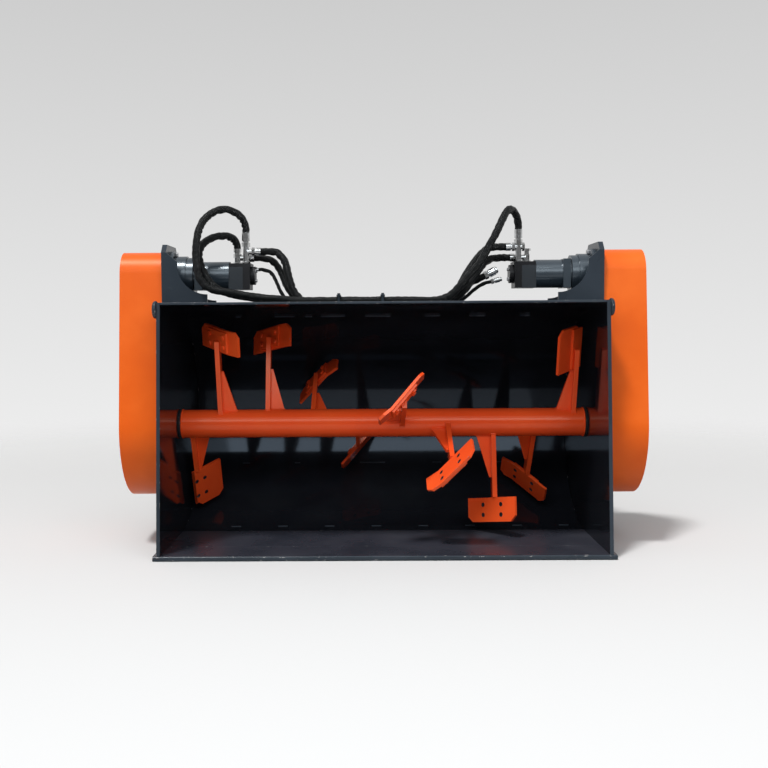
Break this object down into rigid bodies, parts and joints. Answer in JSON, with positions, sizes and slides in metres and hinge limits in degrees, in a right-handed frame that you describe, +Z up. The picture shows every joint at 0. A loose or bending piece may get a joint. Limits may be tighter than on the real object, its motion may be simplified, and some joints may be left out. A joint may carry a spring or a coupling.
{
  "type": "concrete mixing bucket",
  "caption": "Skid-steer concrete mixing bucket: open-front drum with a paddle shaft driven by hydraulic motors and roller chains in side cases, hoses on top.",
  "frame": {"origin": "on the ground under the middle of the bucket's length, width and depth, cords left out", "axes": "+X to the right seen from the open mouth, +Y from the mouth to the loader's coupler, +Z up"},
  "size_m": [2.202, 1.107, 1.443],
  "materials": {
    "body_paint": "gloss slate-grey paint",
    "orange_paint": "gloss orange paint",
    "motor_paint": "satin blue-grey paint",
    "black_paint": "satin black paint",
    "cast_grey": "painted casting",
    "oiled_steel": "oiled steel",
    "bolt_steel": "zinc plated",
    "zinc_steel": "bright zinc plated",
    "bright_steel": "ground steel",
    "hose_sleeve": "matt black textile sleeve over rubber hose",
    "seal_rubber": "matt rubber"
  },
  "bodies": {
    "bucket": {"rolled_back": "body_paint", "top_plate": "body_paint", "floor_plate": "body_paint", "cutting_edge": "body_paint", "side_plate_left": "body_paint", "side_plate_right": "body_paint", "corner_bosses": "body_paint", "motor_plates": "body_paint", "motor_gussets": "body_paint", "back_stiffeners": "body_paint", "coupler_ribs": "body_paint", "coupler_plate": "body_paint", "hook_rail": "body_paint", "lock_ledge": "body_paint", "chain_case_left": "orange_paint", "chain_case_right": "orange_paint", "case_lid_left": "orange_paint", "case_lid_right": "orange_paint", "lid_bolts": "bolt_steel", "bearing_housing_left": "cast_grey", "bearing_housing_right": "cast_grey", "bearing_bolts": "bolt_steel", "shaft_seals": "seal_rubber", "chain_left": "oiled_steel", "chain_right": "oiled_steel", "motor_left": "motor_paint", "motor_right": "motor_paint", "motor_caps": "black_paint", "motor_bolts": "bolt_steel", "fittings_left": "zinc_steel", "fittings_right": "zinc_steel", "hose_a": "hose_sleeve", "hose_b": "hose_sleeve", "hose_c": "hose_sleeve", "supply_hose": "hose_sleeve", "drain_hose": "hose_sleeve", "supply_coupler": "zinc_steel", "drain_coupler": "zinc_steel", "hose_clamps": "hose_sleeve"},
    "mixer": {"mixer_tube": "orange_paint", "stub_shafts": "bright_steel", "bearing_races": "bright_steel", "large_sprocket_left": "oiled_steel", "large_sprocket_right": "oiled_steel", "mixer_arms": "orange_paint", "blade_1": "orange_paint", "blade_2": "orange_paint", "blade_3": "orange_paint", "blade_4": "orange_paint", "blade_5": "orange_paint", "blade_6": "orange_paint", "blade_7": "orange_paint", "blade_8": "orange_paint", "blade_9": "orange_paint", "blade_10": "orange_paint", "blade_bolts": "bolt_steel"},
    "drive_left": {"motor_shaft_left": "bright_steel", "small_sprocket_left": "oiled_steel"},
    "drive_right": {"motor_shaft_right": "bright_steel", "small_sprocket_right": "oiled_steel"}
  },
  "joints": [
    {"name": "mixer_spin", "type": "hinge", "parent": "bucket", "child": "mixer", "pos_m": [0, -0.0535, 0.505], "axis": [1, 0, 0], "continuous": true, "deforming": ["chain_left", "chain_right"]},
    {"name": "drive_left_spin", "type": "hinge", "parent": "bucket", "child": "drive_left", "pos_m": [0, -0.1975, 1.15421], "axis": [1, 0, 0], "continuous": true},
    {"name": "drive_right_spin", "type": "hinge", "parent": "bucket", "child": "drive_right", "pos_m": [0, -0.1975, 1.15421], "axis": [1, 0, 0], "continuous": true}
  ],
  "couplings": [
    {"joint": "drive_left_spin", "follows": "mixer_spin", "ratio": 5},
    {"joint": "drive_right_spin", "follows": "mixer_spin", "ratio": 5}
  ]
}
